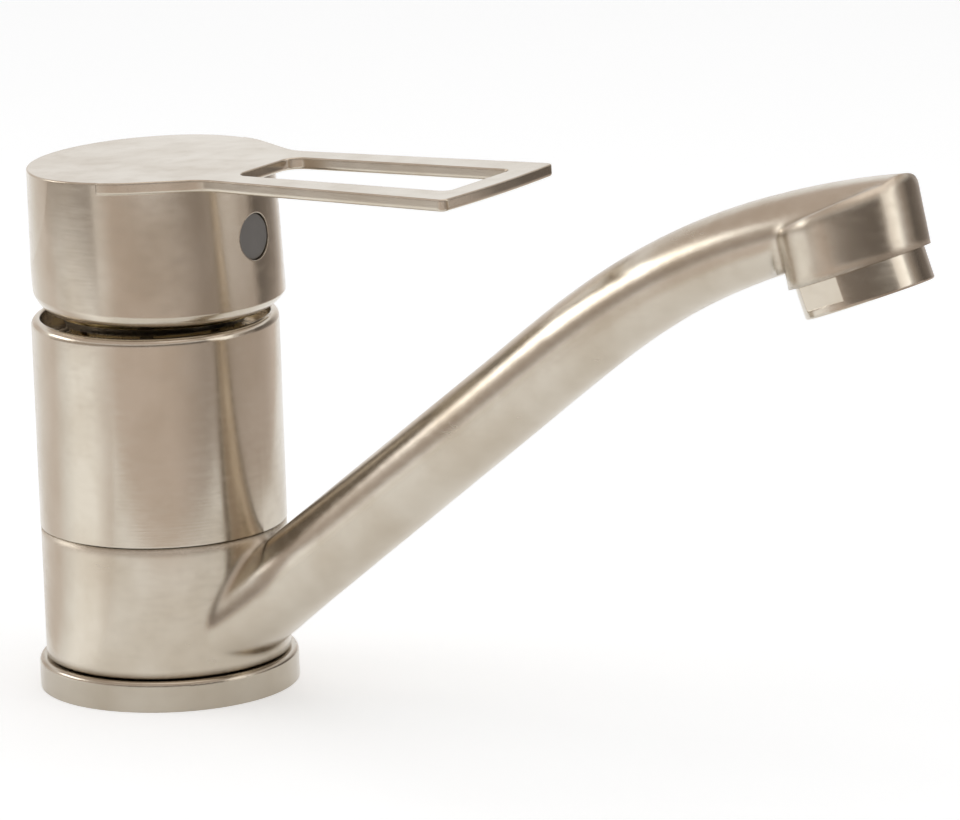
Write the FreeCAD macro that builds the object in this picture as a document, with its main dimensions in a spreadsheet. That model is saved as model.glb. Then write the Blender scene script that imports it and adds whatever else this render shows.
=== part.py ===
import FreeCAD, Part
import Sketcher

import math
import os
import re

from FreeCAD import Matrix, Rotation, Vector

# Single-lever deck-mounted sink mixer with a swivelling cast spout.
# Origin: centre of the base ring's underside, on the deck.  +Z is up and +X is
# the way the spout and the lever point at rest.  Everything is in millimetres
# and degrees.  The mixer is symmetric about the plane Y = 0.

SIZES = {
    # base and lower body
    "base_proud": (1.35, "overhang of the base ring beyond the barrel"),
    "base_tall": (6.2, "base ring, height"),
    "base_edge": (1.0, "base ring, rounding of the top edge"),
    "base_seam": (0.3, "dark gap between base ring and spout collar"),
    "seal_wall": (2.5, "wall of the base ring between clip and deck seal"),
    "seal_rim": (1.35, "rim of the base ring round the deck seal"),
    "seal_thick": (1.6, "deck seal, thickness"),
    "spigot_rad": (17.4, "radius of the spigot that carries the spout"),
    "seat_fit": (0.05, "clearance of rings seated on the spigot"),
    # retaining clip
    "clip_low": (1.4, "clip, height of its underside"),
    "clip_thick": (1.2, "clip, thickness"),
    "clip_bite": (0.8, "depth of the clip's groove in the spigot"),
    "clip_stand": (2.2, "clip, how far it stands out of the spigot"),
    "clip_gap": (9.0, "clip, width of the open slot"),
    "clip_play": (0.1, "clearance round the clip"),
    # barrel
    "barrel_wall": (4.0, "barrel, wall outside the chamber thread"),
    "floor_thick": (4.35, "cartridge chamber, floor above the barrel's lower edge"),
    "lip_deep": (5.9, "barrel's lip, height above the cartridge nut"),
    "lip_step": (2.2, "mouth inside the lip, step outside the chamber thread"),
    "bore_play": (0.3, "clearance of the cartridge in its chamber"),
    "thread_deep": (0.7, "depth of the chamber thread"),
    "thread_spare": (3.5, "chamber thread, reach below the nut"),
    "lip_round": (1.5, "rounding of the lip's outer edge"),
    "lip_break": (0.25, "chamfer of the lip's inner edge"),
    # water ways in the body
    "inlet_x": (6.5, "inlets, position along X"),
    "inlet_y": (5.5, "inlets, distance either side of the middle"),
    "inlet_rad": (4.5, "inlet thread wall, radius"),
    "inlet_deep": (11.0, "inlet thread, length"),
    "feed_rad": (3.4, "feed bores above the inlets, radius"),
    "stud_x": (-9.5, "fixing stud hole, position along X"),
    "stud_rad": (3.4, "fixing stud hole wall, radius"),
    "stud_deep": (11.0, "fixing stud hole, depth"),
    "outlet_x": (-8.5, "outlet bore, position along X"),
    "outlet_rad": (3.8, "outlet bore, radius"),
    "port_z": (18.2, "height of the port to the spout"),
    "port_rad": (3.6, "port to the spout, radius"),
    "gallery_tall": (8.6, "gallery round the spigot, height"),
    "gallery_deep": (1.5, "gallery round the spigot, depth"),
    # spout bearing
    "collar_inset": (0.1, "spout collar, how much slimmer than the barrel"),
    "collar_tall": (26.85, "spout collar, height"),
    "collar_seam": (0.3, "seam between collar and barrel"),
    "collar_gap": (0.35, "radial gap between collar bore and spigot"),
    "collar_edge": (0.4, "rounding of the collar's edges"),
    "glide_wide": (1.6, "glide rings, width"),
    "glide_tall": (3.0, "glide rings, height"),
    "glide_play": (0.05, "running clearance of the glide rings"),
    "oring_wire": (1.15, "spout seals, radius of the cord"),
    "oring_sunk": (0.9, "spout seals, depth of their cord in the spigot"),
    "oring_play": (0.1, "clearance round the spout seals"),
    "oring_low": (11.6, "height of the lower spout seal"),
    "oring_high": (25.4, "height of the upper spout seal"),
    # spout
    "tube_rise": (38.1, "climb of the straight tube"),
    "tube_bend_x": (104.0, "start of the bend along X"),
    "tube_bend_z": (81.95, "start of the bend, height of the centre line"),
    "tube_bend_rad": (160.0, "radius of the bend's centre line"),
    "tube_root_x": (14.0, "start of the tube inside the collar"),
    "tube_root": (8.85, "tube, radius at the collar"),
    "flare_x": (36.0, "place along X where the tube's sides start to widen to the collar"),
    "flare_slope": (0.46, "how steeply they widen at the collar"),
    "flare_soft": (5.0, "length over which they start to widen"),
    "tube_mid": (8.45, "tube, radius at the start of the bend"),
    "tube_end_half": (8.8, "tube, half width at the head"),
    "tube_end_deep": (7.3, "tube, half depth at the head"),
    "tube_fillet": (0.9, "fillet between tube and collar"),
    "tube_clear": (2.0, "end of the solid tube outside the glide rings"),
    "tube_spare": (0.02, "excess of the tube's width over its depth where it is round"),
    "water_rad": (4.6, "water way in the tube, radius"),
    "water_end": (4.0, "end of the water way behind the middle of the well"),
    "head_x": (167.8, "centre of the head's underside along X"),
    "head_z": (102.6, "centre of the head's underside, height"),
    "head_tilt": (20.5, "lean of the outlet axis from the vertical"),
    "head_lean": (12.2, "lean of the head's walls from the vertical"),
    "head_rad": (14.2, "head, radius"),
    "head_blend": (4.0, "hollow flare from the tube's sides into the head, radius"),
    "head_sink": (0.4, "start of that flare inside the tube's side"),
    "head_tail": (4.0, "tail of the head inside the tube, length"),
    "head_low": (3.4, "plain round foot of the head, height"),
    "head_tall": (12.6, "head, height at its axis"),
    "head_slope": (5.1, "slope of the head's top against its underside"),
    "head_ridge": (1.5, "rounding of the head's top edge"),
    "crown_slope": (10.5, "slope of the crown over the head"),
    "crown_tall": (17.35, "height of the crown's end plane at the head's axis"),
    "crown_round": (2.0, "rounding of the crown's front end"),
    "head_bore": (11.45, "outlet thread wall, radius"),
    "head_bore_deep": (6.4, "outlet thread, depth"),
    "head_well_rad": (8.6, "water well above the thread, radius"),
    "head_well_deep": (9.2, "water well, depth from the underside"),
    # aerator
    "ring_rad": (12.85, "aerator ring, outer radius"),
    "ring_tall": (6.5, "aerator ring, height below the head"),
    "ring_bore": (10.2, "aerator ring, inner radius"),
    "ring_lip": (1.1, "inward lip at the ring's mouth"),
    "ring_edge": (0.5, "rounding of the ring's lower edge"),
    "ring_lip_tall": (1.2, "height of the lip at the ring's mouth"),
    "ring_neck_tall": (5.0, "aerator neck inside the head, height"),
    "thread_play": (0.05, "clearance of screwed threads"),
    "flat_half": (11.75, "distance of the spanner flats from the axis"),
    "flat_tall": (4.9, "height of the spanner flats"),
    "flat_turn": (-12.0, "angle of the spanner flats about the axis"),
    "insert_play": (0.1, "clearance of the aerator insert"),
    "insert_wall": (1.0, "aerator insert, wall"),
    "insert_tall": (9.8, "aerator insert, height"),
    "insert_floor": (1.6, "aerator insert, height of its outlet grid"),
    "insert_bar": (0.8, "aerator insert, bars of its outlet grid"),
    "insert_pitch": (3.4, "aerator insert, spacing of the bars"),
    "screen_thick": (0.5, "inlet screen, thickness"),
    "screen_hole": (0.8, "inlet screen, half width of a hole"),
    "washer_in": (8.8, "outlet washer, inner radius"),
    # cartridge
    "cart_rad": (20.0, "cartridge, outer radius"),
    "base_thick": (3.0, "cartridge base, thickness of its flange"),
    "base_boss": (2.6, "cartridge base, height of its boss"),
    "cart_wall": (2.3, "cartridge housing, wall"),
    "roof_thick": (4.0, "cartridge housing, thickness of its shoulder"),
    "neck_tall": (20.9, "cartridge neck, height above the shoulder"),
    "neck_rad": (13.5, "cartridge neck, outer radius"),
    "neck_bore": (12.3, "cartridge neck, inner radius"),
    "foot_gap": (0.4, "gap under the cartridge base, taken up by seals"),
    "port_hole": (3.0, "ports in base and fixed disc, radius"),
    "gasket_hole": (4.0, "port gasket, inner radius of its rings"),
    "gasket_width": (1.3, "port gasket, width of its rings and webs"),
    "gasket_tall": (1.3, "port gasket, height"),
    "disc_thick": (4.5, "ceramic discs, thickness"),
    "disc_play": (0.2, "clearance of the fixed disc in the housing"),
    "slider_rad": (14.9, "moving disc, radius"),
    "slider_back": (2.0, "moving disc, offset behind the axis when shut"),
    "disc_gap": (0.02, "lapped gap between the discs"),
    "recess_rad": (5.4, "mixing recess, radius round the axis"),
    "recess_half": (5.0, "mixing recess, half width over the outlet"),
    "recess_long": (12.5, "mixing recess, reach behind the axis"),
    "recess_deep": (2.0, "mixing recess, depth"),
    "carrier_thick": (3.0, "disc carrier, plate thickness"),
    "rotor_gap": (0.15, "gap between carrier and rotor flange"),
    "flange_thick": (5.25, "rotor flange, thickness"),
    "pillar_long": (9.4, "carrier pillar along the slide"),
    "pillar_wide": (8.0, "carrier pillar across the slide"),
    "pillar_drop": (9.9, "top of the carrier pillar below the pivot"),
    "socket_drop": (16.0, "floor of the pillar's socket below the pivot"),
    "socket_wall": (2.0, "wall of the pillar's socket along the slide"),
    "slide_play": (0.2, "clearance of the pillar in the rotor"),
    "slide_travel": (3.7, "travel of the moving disc"),
    "slot_play": (0.15, "clearance of the stem in the rotor's slot"),
    "rotor_play": (0.08, "running clearance of the rotor in the neck"),
    "flange_play": (0.3, "clearance of the rotor flange"),
    "slot_drop": (7.9, "lower end of the rotor's stem slot below the pivot"),
    "slot_back": (5.0, "stem slot behind the axis"),
    "slot_front": (7.2, "stem slot in front of the axis"),
    # nut and dome
    "nut_hole": (13.8, "cartridge nut, inner radius"),
    "nut_tall": (5.0, "cartridge nut, height"),
    "nut_play": (0.05, "clearance of the nut's thread"),
    "nut_notch": (4.0, "cartridge nut, width of its key slots"),
    "nut_notch_deep": (2.0, "cartridge nut, depth of its key slots"),
    "nut_notches": (6, "cartridge nut, number of key slots"),
    "dome_ball": (20.5, "dome ring, radius of its ball face"),
    "dome_wall": (1.2, "dome ring, wall"),
    "dome_drop": (0.7, "top of the dome ring below the pivot"),
    "dome_hole": (13.8, "dome ring, inner radius"),
    # lever, in the lever's own frame: origin on the pivot, leaning with it
    "pivot_deep": (1.9, "lever's pivot below the top of the cartridge neck"),
    "lever_lean": (3.4, "backward lean of the lever at rest"),
    "cap_rad": (25.4, "lever cap, outer radius"),
    "cap_fore": (1.15, "lever cap, centre in front of the pivot"),
    "cap_cavity": (21.2, "lever cap, radius of its cavity"),
    "cap_roof": (19.5, "lever cap, height of the cavity's roof"),
    "cap_edge": (0.3, "lever cap, rounding of its top edge"),
    "top_x": (1.4, "point where the top's height is given"),
    "top_z": (23.45, "height of the top above the pivot"),
    "plate_fall": (1.18, "fall of the top towards the tip"),
    "plate_thick": (2.5, "lever plate, thickness"),
    "plate_tip": (86.85, "lever plate, tip corners along X"),
    "plate_bow": (0.9, "outward bow of the tip"),
    "plate_step": (7.0, "start of the plate's overhang"),
    "plate_proud": (0.4, "overhang of the plate beyond the cap"),
    "rail_root_x": (29.4, "root of the rails along X"),
    "rail_root_half": (15.8, "half width over the rails at the root"),
    "tip_half": (19.1, "half width at the tip"),
    "neck_angle": (60.5, "angle at which the plate leaves the cap"),
    "neck_round": (11.0, "hollow rounding at the root of the rails"),
    "tip_round": (1.6, "rounding of the tip corners"),
    "loop_back": (29.9, "finger loop, rear end along X"),
    "loop_front": (82.2, "finger loop, front end along X"),
    "loop_back_half": (9.6, "finger loop, half width at the rear"),
    "loop_front_half": (11.1, "finger loop, half width at the front"),
    "loop_back_round": (3.2, "finger loop, rear corner radius"),
    "loop_front_round": (1.8, "finger loop, front corner radius"),
    "plate_top_edge": (0.3, "rounding of the plate's top edge"),
    "plate_low_edge": (0.7, "rounding of the plate's lower edge"),
    "skirt_z": (-7.05, "lower edge of the cap below the pivot"),
    "skirt_fore": (1.7, "centre of the turned skirt in front of the pivot"),
    "skirt_rad": (25.95, "turned skirt, radius"),
    "skirt_round": (6.5, "turned skirt, rounding of its lower edge"),
    "boss_rad": (7.0, "stem boss, radius"),
    "boss_foot": (5.7, "height of the boss's lower end"),
    "web_half": (5.6, "half width of the web in front of the boss"),
    "stem_half": (3.2, "stem, half of its square"),
    "stem_fit": (0.05, "clearance of the stem in its socket"),
    "stem_top": (17.0, "top of the stem"),
    "stem_spare": (0.3, "room over the stem in its socket"),
    "stem_low": (-4.0, "lower end of the stem's square"),
    "arm_rad": (1.7, "stem arm, radius"),
    "arm_long": (12.0, "pivot to the centre of the stem's ball"),
    "ball_rad": (2.45, "stem ball, radius"),
    "pin_rad": (1.25, "pivot pin, radius"),
    "pin_half": (11.0, "pivot pin, half length"),
    "pin_fit": (0.02, "clearance of the pin in the rotor"),
    "pin_play": (0.05, "running clearance of the pin in the stem"),
    "screw_z": (8.45, "height of the grub screw"),
    "screw_rad": (2.0, "grub screw, radius"),
    "screw_long": (5.0, "grub screw, length"),
    "screw_key": (1.0, "grub screw, half of its key's width"),
    "screw_key_deep": (2.0, "grub screw, depth of its key socket"),
    "screw_way": (2.6, "access hole, radius"),
    "plug_rad": (4.7, "index plug, radius"),
    "plug_fit": (0.05, "clearance of the plug in its seat"),
    "plug_seat": (23.4, "bottom of the plug's seat along X"),
    "plug_face": (25.95, "front face of the plug along X"),
    "plug_edge": (0.4, "rounding of the plug's rim"),
}

# Sizes that follow from the others.
LINKS = {
    "bore_rad": "cart_rad + bore_play",
    "thread_rad": "bore_rad + thread_deep",
    "lip_bore": "thread_rad + lip_step",
    "body_rad": "thread_rad + barrel_wall",
    "collar_rad": "body_rad - collar_inset",
    "base_rad": "body_rad + base_proud",
    "clip_out": "spigot_rad + clip_stand",
    "seal_in": "clip_out + clip_play + seal_wall",
    "seal_out": "base_rad - seal_rim",
    "glide_out": "spigot_rad + glide_wide",
    "oring_rad": "spigot_rad - oring_sunk",
    "disc_rad": "cart_rad - cart_wall - disc_play",
    "collar_foot": "base_tall + base_seam",
    "collar_top": "collar_foot + collar_tall",
    "body_foot": "collar_top + collar_seam",
    "bore_floor": "body_foot + floor_thick",
    "cart_foot": "bore_floor + foot_gap + base_thick",
    "foot_top": "cart_foot + base_boss",
    "slider_foot": "foot_top + disc_thick + disc_gap",
    "carrier_foot": "slider_foot + disc_thick",
    "rotor_foot": "carrier_foot + carrier_thick + rotor_gap",
    "cart_roof": "rotor_foot + flange_thick + rotor_play",
    "cart_shoulder": "cart_roof + roof_thick",
    "thread_foot": "cart_shoulder - thread_spare",
    "nut_top": "cart_shoulder + nut_tall",
    "body_top": "nut_top + lip_deep",
    "neck_top": "cart_shoulder + neck_tall",
    "pivot_z": "neck_top - pivot_deep",
    "pillar_top": "pivot_z - pillar_drop",
    "socket_floor": "pivot_z - socket_drop",
    "slot_low": "pivot_z - slot_drop",
    "dome_top": "pivot_z - dome_drop",
    "ball_x": "arm_long * sin(lever_lean * 1 deg)",
}

doc = FreeCAD.newDocument("SinkMixer")
sheet = doc.addObject("Spreadsheet::Sheet", "Sizes")
for row, (alias, (number, note)) in enumerate(SIZES.items(), start=1):
    sheet.set("A%d" % row, alias)
    sheet.set("B%d" % row, str(number))
    sheet.set("C%d" % row, note)
    sheet.setAlias("B%d" % row, alias)
doc.recompute()


class Lengths:
    """Gives each size as an attribute."""

    def __getattr__(self, word):
        return number_of(word)


val = Lengths()
parts = []


# ---------------------------------------------------------------- helpers

def bound(text):
    """Turns an expression in the words above into one in the sheet's cells."""
    def cell(match):
        word = match.group(0)
        if word in LINKS:
            return "(%s)" % bound(LINKS[word])
        return "Sizes." + word if word in SIZES else word
    return re.sub(r"[a-z_]+", cell, text)


def bind(item, prop, text):
    """Binds a property to an expression in the words above."""
    item.setExpression(prop, bound(text))


def place(item, x="0", y="0", z="0"):
    """Binds an object's position."""
    for axis, text in (("x", x), ("y", y), ("z", z)):
        bind(item, "Placement.Base." + axis, text)


def cylinder(name, radius, height, x="0", y="0", z="0", along=None):
    """A bound cylinder, upright or along another axis."""
    item = doc.addObject("Part::Cylinder", name)
    bind(item, "Radius", radius)
    bind(item, "Height", height)
    if along is not None:
        item.Placement = FreeCAD.Placement(Vector(), Rotation(Vector(0, 0, 1), along))
    place(item, x, y, z)
    return item


def block(name, size, corner):
    """A bound box from its three sizes and its lowest corner."""
    item = doc.addObject("Part::Box", name)
    for prop, text in zip(("Length", "Width", "Height"), size):
        bind(item, prop, text)
    place(item, *corner)
    return item


def ball(name, radius, z):
    """A bound ball on the Z axis."""
    item = doc.addObject("Part::Sphere", name)
    bind(item, "Radius", radius)
    place(item, z=z)
    return item


def joined(name, items):
    """The union of several objects."""
    item = doc.addObject("Part::MultiFuse", name)
    item.Shapes = items
    return item


def cut(name, base, tools):
    """The base with the tools taken away."""
    item = doc.addObject("Part::Cut", name)
    item.Base = base
    item.Tool = tools[0] if len(tools) == 1 else joined(name + "_tools", tools)
    return item


def shared(name, base, tool):
    """The space that two objects share."""
    item = doc.addObject("Part::Common", name)
    item.Base = base
    item.Tool = tool
    return item


def solid(name, shape):
    """A piece whose shape is worked out by its own function."""
    item = doc.addObject("Part::Feature", name)
    item.Shape = shape
    return item


def turned(name, profile):
    """A turned body: a closed profile of (radius, height) expressions about Z."""
    body = doc.addObject("PartDesign::Body", name)
    plane = [p for p in body.Origin.OriginFeatures if p.Role == "XZ_Plane"][0]
    sketch = body.newObject("Sketcher::SketchObject", name + "_profile")
    sketch.AttachmentSupport = [(plane, "")]
    sketch.MapMode = "FlatFace"
    corners = [(number_of(r), number_of(z)) for r, z in profile]
    count = len(corners)
    for index in range(count):
        start = Vector(*corners[index], 0)
        end = Vector(*corners[(index + 1) % count], 0)
        sketch.addGeometry(Part.LineSegment(start, end), False)
    for index in range(count):
        sketch.addConstraint(corner_joint(index, (index + 1) % count))
    for index, (r_text, z_text) in enumerate(profile):
        tie(sketch, index, "DistanceX", corners[index][0], r_text)
        tie(sketch, index, "DistanceY", corners[index][1], z_text)
    spin = body.newObject("PartDesign::Revolution", name + "_turned")
    spin.Profile = sketch
    spin.ReferenceAxis = (sketch, ["V_Axis"])
    spin.Angle = 360
    sketch.Visibility = False
    return body


def number_of(text):
    """The value of an expression in the words above."""
    return float(sheet.evalExpression(bound(text)))


def corner_joint(this, following):
    """Joins the end of one line to the start of the next."""
    return Sketcher.Constraint("Coincident", this, 2, following, 1)


def tie(sketch, line, kind, value, text):
    """Ties the start of a line to the sketch's origin by a bound distance."""
    if text == "0":
        axis = -2 if kind == "DistanceX" else -1
        sketch.addConstraint(Sketcher.Constraint("PointOnObject", line, 1, axis))
        return
    index = sketch.addConstraint(Sketcher.Constraint(kind, -1, 1, line, 1, value))
    sketch.setExpression("Constraints[%d]" % index, bound(text))


def tube(name, inner, outer, low, high):
    """A plain ring between two radii and two heights."""
    return turned(name, [(inner, low), (outer, low), (outer, high), (inner, high)])


def rounded(name, body, radius, picks):
    """Adds a fillet of bound radius to a body, on the edges that picks accepts."""
    doc.recompute()
    edges = enumerate(body.Tip.Shape.Edges, start=1)
    fillet = body.newObject("PartDesign::Fillet", name)
    fillet.Base = (fillet.BaseFeature or body.Tip, ["Edge%d" % i for i, e in edges if picks(e)])
    bind(fillet, "Radius", radius)
    return body


def spun(name, item, angle):
    """A copy of an object turned about Z."""
    copy = doc.addObject("Part::Compound", name)
    copy.Links = [item]
    copy.Placement = FreeCAD.Placement(Vector(), Rotation(Vector(0, 0, 1), angle))
    return copy


def leaned(item, x, z, angle):
    """Moves an object onto an axis that leans back, through a point of the XZ plane."""
    item.Placement = FreeCAD.Placement(Vector(), Rotation(Vector(0, -1, 0), number_of(angle)))
    place(item, x=x, z=z)
    bind(item, "Placement.Rotation.Angle", angle)
    return item


def keep(item, label):
    """Marks an object as a finished sub-part under its own label."""
    item.Label = label
    parts.append(item)


def circle_at(radius, height):
    """A test for the full circles of one radius and height about Z."""
    def test(edge):
        low, high = edge.BoundBox.ZMin, edge.BoundBox.ZMax
        flat = abs(low - height) < 1e-4 and abs(high - height) < 1e-4
        return flat and abs(edge.Length - 2 * math.pi * radius) < 1e-3
    return test


# ---------------------------------------------------------------- body

def main_body():
    """Barrel with the cartridge chamber, and the spigot under it."""
    blank = turned("body_turned", [
        ("0", "0"),
        ("spigot_rad", "0"),
        ("spigot_rad", "clip_low - clip_play"),
        ("spigot_rad - clip_bite", "clip_low - clip_play"),
        ("spigot_rad - clip_bite", "clip_low + clip_thick + clip_play"),
        ("spigot_rad", "clip_low + clip_thick + clip_play"),
        ("spigot_rad", "oring_low - oring_wire - oring_play"),
        ("oring_rad - oring_wire", "oring_low - oring_wire - oring_play"),
        ("oring_rad - oring_wire", "oring_low + oring_wire + oring_play"),
        ("spigot_rad", "oring_low + oring_wire + oring_play"),
        ("spigot_rad", "port_z - 0.5 * gallery_tall"),
        ("spigot_rad - gallery_deep", "port_z - 0.5 * gallery_tall"),
        ("spigot_rad - gallery_deep", "port_z + 0.5 * gallery_tall"),
        ("spigot_rad", "port_z + 0.5 * gallery_tall"),
        ("spigot_rad", "oring_high - oring_wire - oring_play"),
        ("oring_rad - oring_wire", "oring_high - oring_wire - oring_play"),
        ("oring_rad - oring_wire", "oring_high + oring_wire + oring_play"),
        ("spigot_rad", "oring_high + oring_wire + oring_play"),
        ("spigot_rad", "body_foot"),
        ("body_rad", "body_foot"),
        ("body_rad", "body_top"),
        ("lip_bore + lip_break", "body_top"),
        ("lip_bore", "body_top - lip_break"),
        ("lip_bore", "nut_top"),
        ("thread_rad", "nut_top"),
        ("thread_rad", "thread_foot"),
        ("bore_rad", "thread_foot"),
        ("bore_rad", "bore_floor"),
        ("0", "bore_floor"),
    ])
    lip = rounded("body_lip", blank, "lip_round", circle_at(val.body_rad, val.body_top))
    tools = []
    for side, sign in (("hot", "-"), ("cold", "")):
        where = sign + "inlet_y"
        tools.append(cylinder(side + "_thread", "inlet_rad", "inlet_deep", "inlet_x", where, "0"))
        tools.append(cylinder(side + "_feed", "feed_rad", "bore_floor", "inlet_x", where, "0"))
    tools.append(cylinder("stud_hole", "stud_rad", "stud_deep", "stud_x", "0", "0"))
    tools.append(cylinder("outlet_bore", "outlet_rad", "bore_floor - port_z",
                          "outlet_x", "0", "port_z"))
    tools.append(cylinder("outlet_port", "port_rad", "spigot_rad + outlet_x",
                          "outlet_x", "0", "port_z", Vector(-1, 0, 0)))
    keep(cut("body_drilled", lip, tools), "main_body")


def base_pieces():
    """Base ring, deck seal and the clip that holds them on the spigot."""
    ring = turned("base_turned", [
        ("spigot_rad + seat_fit", "clip_low + clip_thick"),
        ("clip_out + clip_play", "clip_low + clip_thick"),
        ("clip_out + clip_play", "0"),
        ("seal_in", "0"),
        ("seal_in", "seal_thick"),
        ("seal_out", "seal_thick"),
        ("seal_out", "0"),
        ("base_rad", "0"),
        ("base_rad", "base_tall"),
        ("spigot_rad + seat_fit", "base_tall"),
    ])
    keep(rounded("base_rounded", ring, "base_edge", circle_at(val.base_rad, val.base_tall)),
         "base_ring")
    keep(tube("deck_seal", "seal_in", "seal_out", "0", "seal_thick"), "base_seal")
    hoop = tube("clip_hoop", "spigot_rad - clip_bite + clip_play", "clip_out",
                "clip_low", "clip_low + clip_thick")
    slot = block("clip_slot", ("clip_out + clip_play", "clip_gap", "clip_thick"),
                 ("0", "-0.5 * clip_gap", "clip_low"))
    keep(cut("clip_open", hoop, [slot]), "retaining_clip")


def spout_bearing():
    """Glide rings and seals between the spigot and the spout's collar."""
    keep(tube("lower_glide", "spigot_rad", "glide_out", "base_tall", "base_tall + glide_tall"),
         "lower_glide_ring")
    keep(tube("upper_glide", "spigot_rad", "glide_out", "body_foot - glide_tall", "body_foot"),
         "upper_glide_ring")
    for label, height in (("lower_spout_seal", "oring_low"), ("upper_spout_seal", "oring_high")):
        ring = doc.addObject("Part::Torus", label)
        bind(ring, "Radius1", "oring_rad")
        bind(ring, "Radius2", "oring_wire")
        place(ring, z=height)
        keep(ring, label)


# ---------------------------------------------------------------- spout

def rising(angle):
    """Unit vectors along and square to a direction that climbs by an angle."""
    turn = math.radians(angle)
    return Vector(math.cos(turn), 0, math.sin(turn)), Vector(-math.sin(turn), 0, math.cos(turn))


def tube_station(x):
    """Centre and climb of the tube at a distance along X: a line, then an arc."""
    start = math.radians(val.tube_rise)
    run = x - val.tube_bend_x
    if run <= 0:
        return Vector(x, 0, val.tube_bend_z + run * math.tan(start)), val.tube_rise
    climb = math.asin(math.sin(start) - run / val.tube_bend_rad)
    height = val.tube_bend_z + val.tube_bend_rad * (math.cos(climb) - math.cos(start))
    return Vector(x, 0, height), math.degrees(climb)


def oval(x, half, deep):
    """A wire across the tube: an oval of given half width and half depth."""
    centre, climb = tube_station(x)
    up = rising(climb)[1]
    across = Vector(0, 1, 0)
    out = across.cross(up)
    frame = Matrix(across.x, up.x, out.x, centre.x,
                   across.y, up.y, out.y, centre.y,
                   across.z, up.z, out.z, centre.z,
                   0, 0, 0, 1)
    curve = Part.Circle(Vector(), Vector(0, 0, 1), half)
    if half - deep > 1e-6:
        curve = Part.Ellipse(Vector(), half, deep)
    wire = Part.Wire([curve.toShape()])
    wire.transformShape(frame)
    return wire


def root_flare(x):
    """How much the tube's sides widen towards the collar: a soft start, then straight."""
    run = max(0.0, val.flare_x - x)
    return val.flare_slope * run ** 2 / (run + val.flare_soft)


def tube_loft():
    """The cast tube: wide at the collar, round, then a little flatter at the head."""
    root = val.tube_root_x
    flare = val.flare_x
    bend = val.tube_bend_x
    reach = val.head_x + 2 * val.head_rad
    places = [root + (flare - root) * step / 7 for step in range(7)]
    places += [flare + (bend - flare) * (step / 6) ** 1.5 for step in range(7)]
    wires = []
    for x in places:
        deep = val.tube_root + (val.tube_mid - val.tube_root) * (x - root) / (bend - root)
        wires.append(oval(x, deep + root_flare(x) + val.tube_spare, deep))
    for share in (0.2, 0.4, 0.6, 0.8, 1.0):
        half = val.tube_mid + (val.tube_end_half - val.tube_mid) * share
        deep = val.tube_mid + (val.tube_end_deep - val.tube_mid) * min(1.0, 1.6 * share)
        wires.append(oval(bend + (reach - bend) * share, half + val.tube_spare, deep))
    return Part.makeLoft(wires, True, False)


def leaning_box(origin, climb, back, front, half, low, high):
    """A box along a climbing direction, from its ends, half width and heights."""
    along, up = rising(climb)
    corner = Vector(-back, -half, low)
    shape = Part.makeBox(back + front, 2 * half, high - low, corner)
    frame = Matrix(along.x, 0, up.x, origin.x,
                   along.y, 1, up.y, origin.y,
                   along.z, 0, up.z, origin.z,
                   0, 0, 0, 1)
    shape.transformShape(frame)
    return shape


def head_frame():
    """Centre of the head's underside and the outlet axis, pointing up."""
    return Vector(val.head_x, 0, val.head_z), rising(val.head_tilt)[1]


def upright(radius, low, high):
    """A cylinder about Z whose seam line is at the back, away from the tube."""
    shape = Part.makeCylinder(radius, high - low, Vector(0, 0, low))
    shape.rotate(Vector(), Vector(0, 0, 1), 180)
    return shape


def spout_collar(foot, top):
    """The collar's outside, with its two rims rounded."""
    collar = upright(val.collar_rad, foot, top)
    rims = [e for e in collar.Edges if circle_at(val.collar_rad, foot)(e)
            or circle_at(val.collar_rad, top)(e)]
    return collar.makeFillet(val.collar_edge, rims)


def above_slope(point, slope):
    """Everything over a sloping plane through a point, as a large box."""
    far = 6 * val.head_rad
    return leaning_box(point, slope, far, far, far, 0, far)


def head_point(u, v):
    """A point in the plane of the head's underside: u towards the front, v to the side."""
    centre, axis = head_frame()
    return centre + rising(val.head_tilt)[0] * u + Vector(0, v, 0)


def disc_outline():
    """The round outline of the head's underside."""
    centre, axis = head_frame()
    return Part.Wire([Part.Circle(centre, axis, val.head_rad).toShape()])


def flared_outline():
    """The head's outline with hollow flares at the back that lead into the tube's sides."""
    rad = val.head_rad
    blend = val.head_blend
    side = val.tube_end_half - val.head_sink
    share = rad / (rad + blend)
    back = math.sqrt((rad + blend) ** 2 - (side + blend) ** 2)
    turn = 0.5 * (math.atan2(side + blend, back) + 0.5 * math.pi)
    touch, middle, end, tail = [
        (-back * share, (side + blend) * share),
        (-back + blend * math.cos(turn), side + blend - blend * math.sin(turn)),
        (-back, side),
        (-back - val.head_tail, 0.5 * side),
    ]

    def both(point):
        return head_point(point[0], point[1]), head_point(point[0], -point[1])

    left, right = zip(both(touch), both(middle), both(end), both(tail))
    curves = [Part.Arc(left[0], head_point(rad, 0), right[0]), Part.LineSegment(left[3], right[3])]
    for points in (left, right):
        curves.append(Part.Arc(points[0], points[1], points[2]))
        curves.append(Part.LineSegment(points[2], points[3]))
    return Part.Wire(Part.sortEdges([c.toShape() for c in curves])[0]), touch[0]


def leaning_cup(outline, height, slope, edge):
    """A column on an outline, along the head's walls, cut by a sloping plane and rounded."""
    centre = head_frame()[0]
    walls = rising(val.head_lean)[1]
    lid = centre + walls * height
    column = Part.Face(outline).extrude(walls * 3 * val.head_tall)
    cup = column.cut(above_slope(lid, slope))
    normal = rising(slope)[1]
    rim = [e for e in cup.Edges if abs((e.CenterOfMass - lid).dot(normal)) < 1e-3
           and e.Curve.TypeId != "Part::GeomLine"]
    return cup.makeFillet(edge, rim)


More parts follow.
